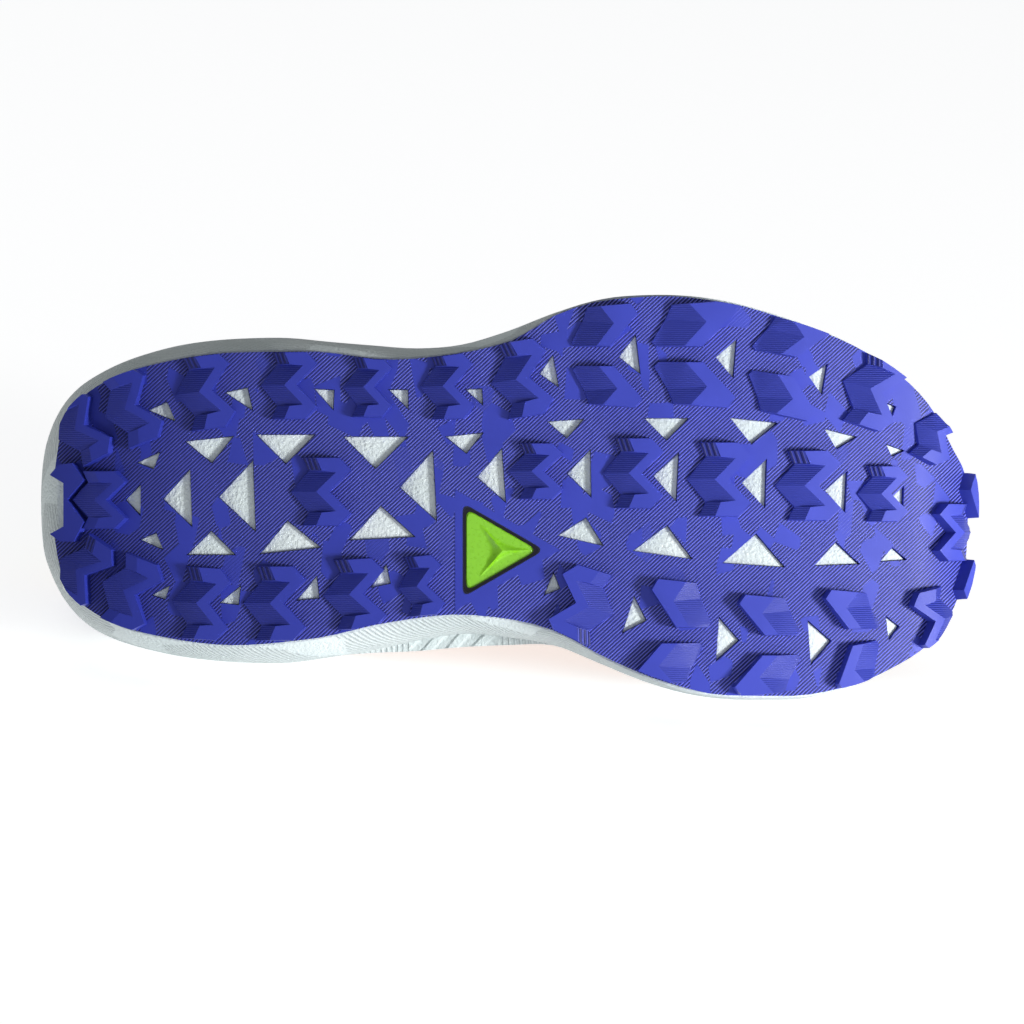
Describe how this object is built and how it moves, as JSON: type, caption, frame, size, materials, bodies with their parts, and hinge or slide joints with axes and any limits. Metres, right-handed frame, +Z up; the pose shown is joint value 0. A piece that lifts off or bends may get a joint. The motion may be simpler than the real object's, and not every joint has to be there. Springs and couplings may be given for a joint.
{
  "type": "trail running shoe",
  "caption": "Right trail running shoe lying on its medial side: lugged windowed outsole, foam midsole, hollow fabric upper, tongue and lace.",
  "frame": {"origin": "centre of the bounding box in plan, on the floor that the lying shoe rests on", "axes": "+X from heel to toe, +Y the way the top of the upper points, so the tread faces -Y and a little up, +Z up from the medial side to the lateral side"},
  "size_m": [0.2996, 0.1444, 0.1269],
  "materials": {
    "outsole": "satin",
    "midsole": "matte",
    "sole_badge": "satin",
    "insole": "matte",
    "upper": "matte",
    "tongue": "matte",
    "toe_cap": "matte",
    "heel_counter": "matte",
    "eyestay": "matte",
    "heel_tab": "matte",
    "lace": "matte"
  },
  "bodies": {
    "root": {"outsole": "outsole", "midsole": "midsole", "sole_badge": "sole_badge", "insole": "insole", "upper": "upper", "tongue": "tongue", "toe_cap": "toe_cap", "heel_counter": "heel_counter", "eyestay": "eyestay", "heel_tab": "heel_tab", "lace": "lace"}
  },
  "joints": []
}
